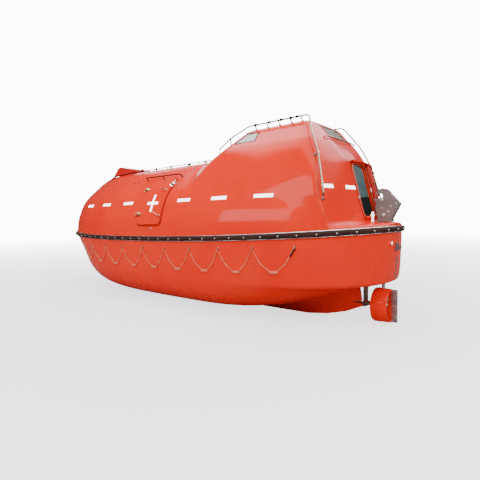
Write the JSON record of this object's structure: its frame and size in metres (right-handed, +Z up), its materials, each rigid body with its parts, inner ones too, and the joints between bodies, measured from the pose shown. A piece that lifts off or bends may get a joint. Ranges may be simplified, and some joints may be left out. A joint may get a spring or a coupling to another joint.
{
  "type": "enclosed lifeboat",
  "caption": "Totally enclosed lifeboat with a wheelhouse aft, an open sliding aft door, hinged side hatches, lifting hooks, a rubber fender and a steering nozzle round its propeller.",
  "frame": {"origin": "amidships on the centreline at the waterline", "axes": "+X forward to the bow, +Y to port, +Z up"},
  "size_m": [8.0205, 2.895, 3.079],
  "materials": {
    "orange_gelcoat": "glossy orange-red gelcoat on glass-reinforced plastic",
    "red_gelcoat": "glossy deep red gelcoat on glass-reinforced plastic",
    "fender_rubber": "matt black rubber",
    "stainless_steel": "polished stainless steel tube",
    "galvanised_steel": "dull hot-dip galvanised steel",
    "hook_paint": "dark grey painted steel",
    "bronze": "cast propeller bronze",
    "window_pane": "clear polycarbonate pane, pale green-grey",
    "inside_grp": "flat grey-green flow coat",
    "seat_grp": "flat ochre flow coat",
    "seat_cover": "black coated fabric on foam",
    "rope": "laid orange synthetic rope",
    "engine_paint": "satin green engine paint",
    "white_paint": "gloss white paint"
  },
  "bodies": {
    "boat": {"hull": "orange_gelcoat", "canopy": "orange_gelcoat", "fender": "fender_rubber", "shaft_bracket": "galvanised_steel", "door_track_lower": "orange_gelcoat", "door_track_upper": "orange_gelcoat", "hook_well": "orange_gelcoat", "fore_hook": "hook_paint", "aft_hook": "hook_paint", "aft_grab_bar": "stainless_steel", "aft_bollard": "white_paint", "stern_bracket": "galvanised_steel", "stern_strap": "galvanised_steel", "stern_plug": "galvanised_steel", "sole": "inside_grp", "engine": "engine_paint", "engine_box": "inside_grp", "helm_seat": "seat_cover", "window_port": "window_pane", "window_starboard": "window_pane", "window_aft": "window_pane", "window_front_port": "window_pane", "window_front_starboard": "window_pane", "roof_rail_port": "stainless_steel", "roof_rail_starboard": "stainless_steel", "foredeck_rail_port": "stainless_steel", "foredeck_rail_starboard": "stainless_steel", "hatch_rail_port": "stainless_steel", "hatch_rail_starboard": "stainless_steel", "hatch_catch_port": "galvanised_steel", "hatch_catch_starboard": "galvanised_steel", "grab_line_port": "rope", "grab_line_starboard": "rope", "bench_port": "seat_grp", "bench_starboard": "seat_grp"},
    "nozzle": {"nozzle": "orange_gelcoat"},
    "propeller": {"propeller": "bronze"},
    "aft_door": {"aft_door": "orange_gelcoat"},
    "hook_lid": {"hook_lid": "red_gelcoat"},
    "fore_hook_jaw": {"fore_hook_jaw": "galvanised_steel"},
    "aft_hook_jaw": {"aft_hook_jaw": "galvanised_steel"},
    "side_hatch_port": {"side_hatch_port": "orange_gelcoat"},
    "side_hatch_starboard": {"side_hatch_starboard": "orange_gelcoat"}
  },
  "joints": [
    {"name": "nozzle_steer", "type": "hinge", "parent": "boat", "child": "nozzle", "pos_m": [-3.755, 0, -0.31], "axis": [0, 0, 1], "range_deg": [-35, 35]},
    {"name": "propeller_spin", "type": "hinge", "parent": "boat", "child": "propeller", "pos_m": [-3.755, 0, -0.31], "axis": [1, 0, 0], "continuous": true},
    {"name": "aft_door_slide", "type": "hinge", "parent": "boat", "child": "aft_door", "pos_m": [-1.24843, 0, 0.39089], "axis": [-0.2455, 0, -0.9694], "range_deg": [0, 12.65]},
    {"name": "hook_lid_hinge", "type": "hinge", "parent": "boat", "child": "hook_lid", "pos_m": [1.578, 0, 2.112], "axis": [0, -1, 0], "range_deg": [0, 100]},
    {"name": "fore_hook_release", "type": "hinge", "parent": "boat", "child": "fore_hook_jaw", "pos_m": [2.04, 0, 1.7763], "axis": [0, -1, 0], "range_deg": [0, 60]},
    {"name": "aft_hook_release", "type": "hinge", "parent": "boat", "child": "aft_hook_jaw", "pos_m": [-3.86, 0, 1.0203], "axis": [0, -1, 0], "range_deg": [0, 60]},
    {"name": "side_hatch_port_hinge", "type": "hinge", "parent": "boat", "child": "side_hatch_port", "pos_m": [0.238, 1.26077, 1.30131], "axis": [0, 0.4632, -0.8862], "range_deg": [0, 110]},
    {"name": "side_hatch_starboard_hinge", "type": "hinge", "parent": "boat", "child": "side_hatch_starboard", "pos_m": [0.238, -1.26077, 1.30131], "axis": [0, 0.4632, 0.8862], "range_deg": [0, 110]}
  ]
}
